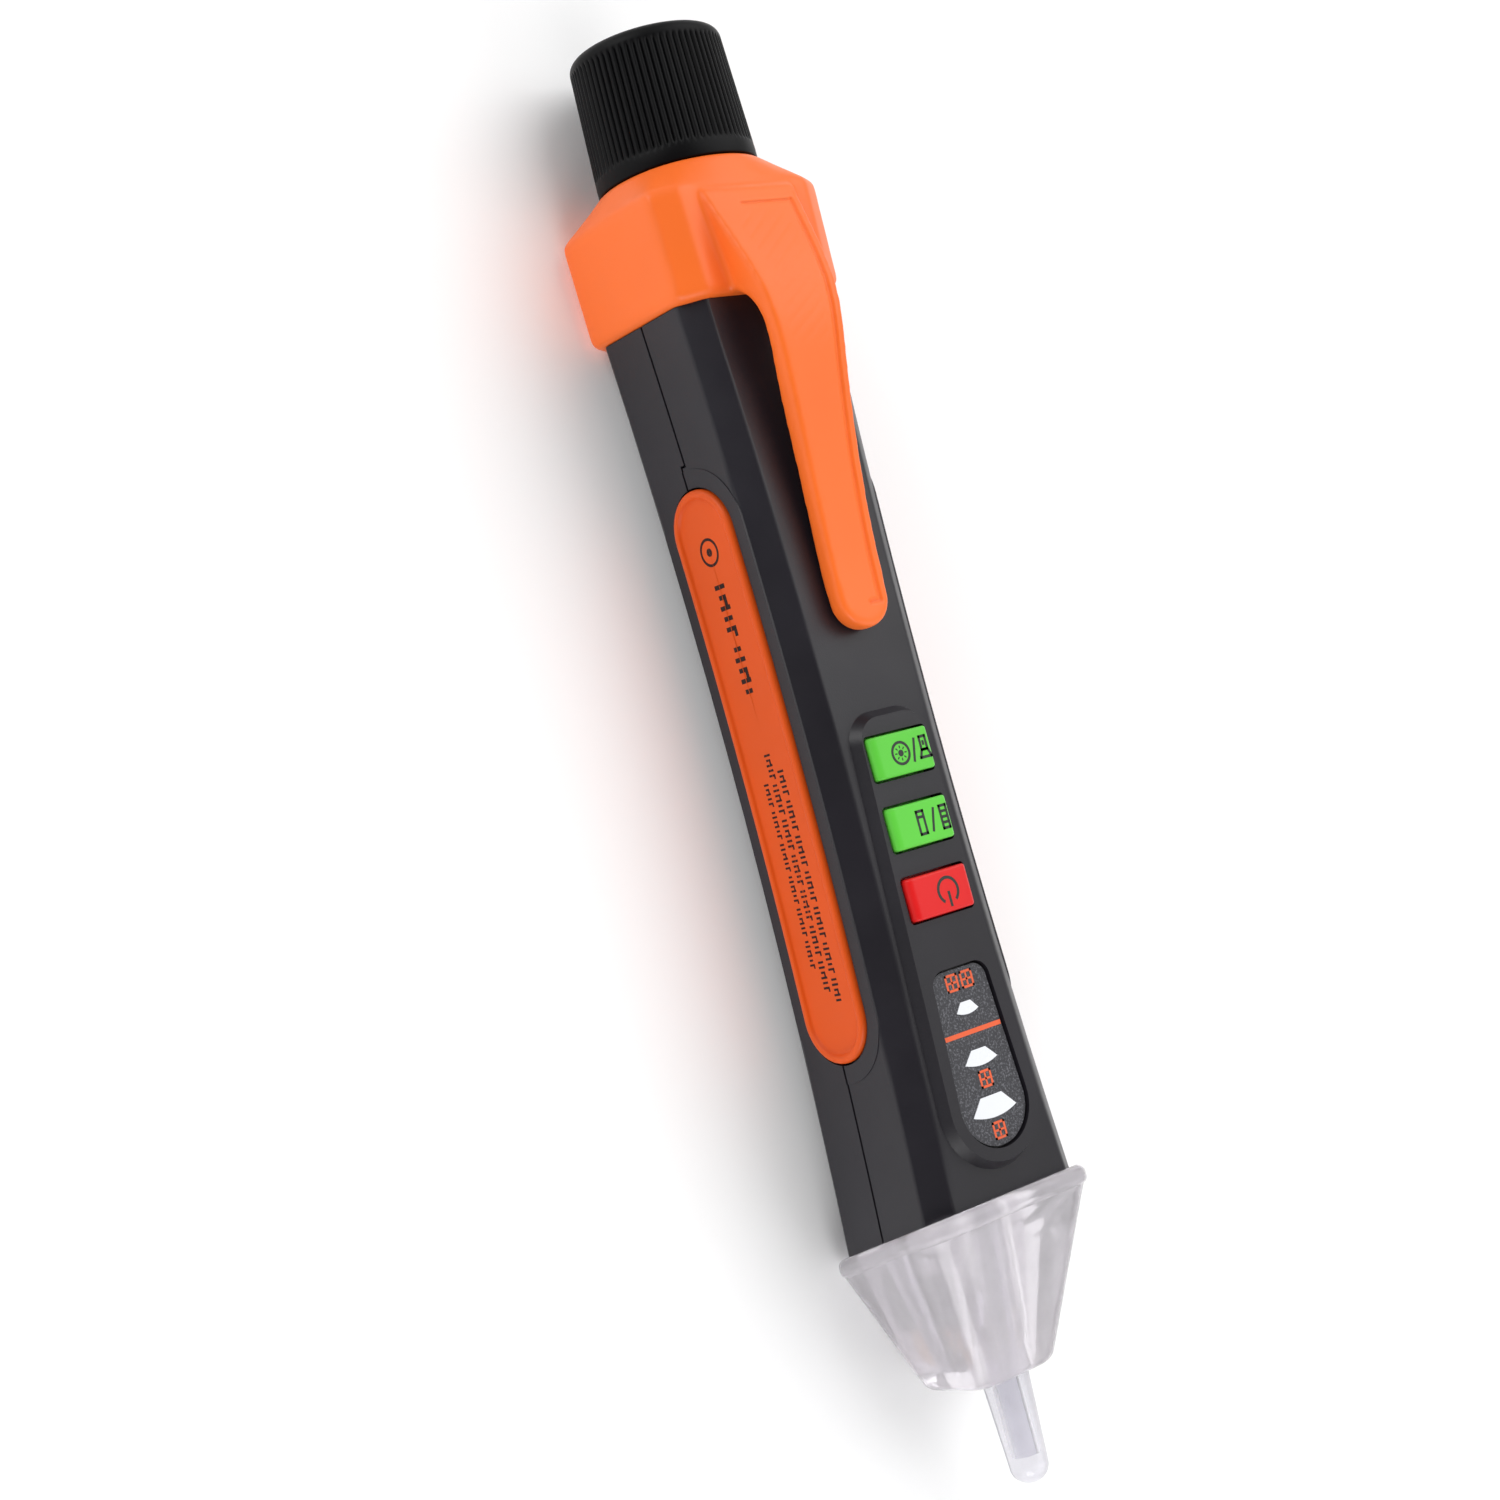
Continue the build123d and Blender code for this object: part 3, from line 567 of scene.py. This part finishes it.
def make_panel_marks():
    """The bar between the first window and the other two, and a small mark beside each window."""
    marks = Print(lambda u, v, lift: (v, -u, PANEL_TOP + lift))
    marks.bar(-4.0, 31.4, 4.0, 31.4, 0.5)
    for u in (-1.05, 1.05):
        marks.path([(u - 0.75, 25.2), (u + 0.75, 25.2), (u + 0.75, 26.8), (u - 0.75, 26.8)], 0.26)
        marks.bar(u - 0.6, 26.0, u + 0.6, 26.0, 0.22)
        marks.bar(u, 25.3, u, 26.7, 0.22)
    for v in (36.5, 42.0):
        marks.path([(-0.75, v - 0.8), (0.75, v - 0.8), (0.75, v + 0.8), (-0.75, v + 0.8)], 0.26)
        marks.bar(-0.6, v, 0.6, v, 0.22)
        marks.bar(0.0, v - 0.7, 0.0, v + 0.7, 0.22)
    marks.finish("panel_marks", PANEL_INK, "case", "orange_plastic")


# ---------------------------------------------------------------- side grips

WAIST_X = -1.7
WAIST_HALF_WIDTH = 9.0
SIDE_RADIUS = 750.0
GRIP_ENDS = (-31.1, 31.4)
GRIP_HALF_HEIGHT = 4.9
GRIP_Z = 0.15
FIELD_HEIGHT = 0.14
# (inset from the grip's outline, height above the case's side) from under the pad, over its rolled
# border, to the middle of the flat field
GRIP_PROFILE = (
    (4.86, -1.14), (3.0, -1.14), (1.0, -1.14), (0.12, -1.14), (0.02, -1.05), (0.0, -0.6), (0.0, 0.02),
    (0.03, 0.2), (0.1, 0.36), (0.22, 0.48), (0.38, 0.55), (0.54, 0.575), (0.7, 0.565), (0.82, 0.52),
    (0.9, 0.44), (0.96, 0.33), (1.03, 0.22), (1.12, 0.16),
    *((inset, FIELD_HEIGHT) for inset in (1.25, 1.62, 2.2, 3.0, 4.0, 4.86)),
)
# rows of ticks: (height on the pad, from X, to X, height of a tick, width of a tick)
TICK_ROWS = (
    (1.45, 0.0, 25.0, 1.0, 0.24),
    (-0.05, -2.0, 23.5, 1.0, 0.24),
    (-1.5, 1.0, 21.0, 0.8, 0.22),
    (0.0, -20.5, -9.0, 1.7, 0.5),
)
TICK_HEIGHTS = (1.0, 0.7, 1.0, 0.85)


def side_half_width(x):
    """Half the case's width at a place along the pen."""
    return WAIST_HALF_WIDTH + SIDE_RADIUS - math.sqrt(SIDE_RADIUS**2 - (x - WAIST_X) ** 2)


def grip_ring(inset, height, side):
    """A stadium round the grip, inset from its outline and lifted off the case's side."""
    radius = GRIP_HALF_HEIGHT - inset
    left, right = GRIP_ENDS[0] + GRIP_HALF_HEIGHT, GRIP_ENDS[1] - GRIP_HALF_HEIGHT
    along, around = 48, 20
    outline = [(left + (right - left) * k / along, radius) for k in range(along)]
    outline += [(right + radius * math.sin(math.pi * k / around), radius * math.cos(math.pi * k / around))
                for k in range(around)]
    outline += [(right + (left - right) * k / along, -radius) for k in range(along)]
    outline += [(left - radius * math.sin(math.pi * k / around), -radius * math.cos(math.pi * k / around))
                for k in range(around)]
    return [(x, side * (side_half_width(x) + height), GRIP_Z + z) for x, z in outline]


def make_grip(name, side):
    """A soft pad with a rolled border round a shallow field."""
    rings = [grip_ring(inset, height, side) for inset, height in GRIP_PROFILE]
    pad = skin(f"{name}_pad", rings)
    add_piece(f"{name}_pad", pad, GRIP, "case", (name,), smooth_angle=60)


def make_grip_marks(name, side):
    """Rows of plain ticks where the pad carries small print, and a ring at the start of the rows."""
    marks = Print(lambda u, v, lift: (u, side * (side_half_width(u) + FIELD_HEIGHT + lift), GRIP_Z + v))
    for v, start, end, height, width in TICK_ROWS:
        u, step = start, 0
        while u < end:
            half = height / 2 * TICK_HEIGHTS[step % 4]
            marks.bar(u, v - half, u, v + half, width)
            if step % 3 == 1:
                marks.bar(u, v + half - width / 2, u + 1.8 * width, v + half - width / 2, width)
            step += 1
            u += width * (4.5 if step % 6 == 5 else 2.3)
    marks.arc(-24.3, 0.0, 1.4, 0.3)
    marks.disc(-24.3, 0.0, 0.45)
    marks.finish(f"{name}_marks", GRIP_INK, "case", "cap_plastic")


# ---------------------------------------------------------------- floor, lights and camera

FLOOR_HALF = 1.5
FLOOR_GLOW = 0.06  # a faint light of its own, which keeps the floor near white


def make_floor():
    """A plain pale floor under the pen."""
    mesh = bpy.data.meshes.new("floor")
    half = FLOOR_HALF
    corners = [(-half, -half, 0), (half, -half, 0), (half, half, 0), (-half, half, 0)]
    mesh.from_pydata(corners, [], [(0, 1, 2, 3)])
    floor = bpy.data.objects.new("floor", mesh)
    bpy.context.scene.collection.objects.link(floor)
    material, tree, shader = new_material("pale_floor")
    shades = ramp(tree, noise(tree, 8.0, 2.0), (0.95, 0.95, 0.95), (0.97, 0.97, 0.97))
    link(tree, shades, shader.inputs["Base Color"])
    shader.inputs["Roughness"].default_value = 0.8
    shader.inputs["Emission Color"].default_value = (1, 1, 1, 1)
    shader.inputs["Emission Strength"].default_value = FLOOR_GLOW
    mesh.materials.append(material)


# name, place, what it aims at, diameter, watts
LIGHTS = (
    ("main_light", (-0.3, 0.28, 0.5), (0, 0, 0), 0.75, 2.5),
    ("side_light", (-0.45, -0.5, 0.2), (0, 0, 0), 0.5, 1.9),
    ("back_light", (0.4, 0.3, 0.4), (0, 0, 0), 0.5, 0.8),
    ("tip_light", (0.4, -0.22, 0.2), (0.06, 0, 0.01), 0.3, 1.0),
)


def area_light(name, place, aim, size, power):
    """A round white soft light."""
    data = bpy.data.lights.new(name, "AREA")
    data.shape = "DISK"
    data.size = size
    data.energy = power
    light = bpy.data.objects.new(name, data)
    light.location = place
    light.rotation_euler = (Vector(aim) - Vector(place)).to_track_quat("-Z", "Y").to_euler()
    bpy.context.scene.collection.objects.link(light)


DARK_SIDE = Vector((0.0, -0.62, 0.78))
WORLD_STRENGTH = 0.6


def make_world():
    """A white studio that is darker above the near side, which keeps the case's bevels dark."""
    world = bpy.data.worlds.new("studio")
    world.use_nodes = True
    tree = world.node_tree
    background = tree.nodes["Background"]
    place = tree.nodes.new("ShaderNodeTexCoord")
    towards = tree.nodes.new("ShaderNodeVectorMath")
    towards.operation = "DOT_PRODUCT"
    towards.inputs[1].default_value = DARK_SIDE.normalized()
    link(tree, place.outputs["Generated"], towards.inputs[0])
    shades = ramp(tree, towards.outputs["Value"], (1.0, 1.0, 1.0), (0.12, 0.12, 0.13), (0.55, 0.9))
    link(tree, shades, background.inputs["Color"])
    background.inputs["Strength"].default_value = WORLD_STRENGTH
    bpy.context.scene.world = world


CAMERA_PLACE = Vector((5.887, -174.547, 222.026)) * MM
CAMERA_RIGHT = Vector((0.26196, 0.76924, 0.58279))
CAMERA_FORWARD = Vector((-0.03321, 0.61070, -0.79116))
CAMERA_LENS = 61.13
SENSOR_WIDTH = 36.0


def make_camera():
    """The camera above the near side, looking down across the pen with the cap at the top of the picture."""
    data = bpy.data.cameras.new("camera")
    data.sensor_width = SENSOR_WIDTH
    data.lens = CAMERA_LENS
    data.clip_start = 0.01
    camera = bpy.data.objects.new("camera", data)
    back = -CAMERA_FORWARD.normalized()
    up = back.cross(CAMERA_RIGHT).normalized()
    right = up.cross(back)
    camera.matrix_world = Matrix.Translation(CAMERA_PLACE) @ Matrix((right, up, back)).transposed().to_4x4()
    bpy.context.scene.collection.objects.link(camera)
    bpy.context.scene.camera = camera


make_cap()
make_collar_and_clip()
for key in KEYS:
    make_key(*key)
make_key_marks()
make_panel_marks()
for grip_name, grip_side in (("side_grip_left", -1), ("side_grip_right", 1)):
    make_grip(grip_name, grip_side)
    make_grip_marks(grip_name, grip_side)
make_floor()
make_world()
for light in LIGHTS:
    area_light(*light)
make_camera()
bpy.context.scene.view_settings.view_transform = "Standard"
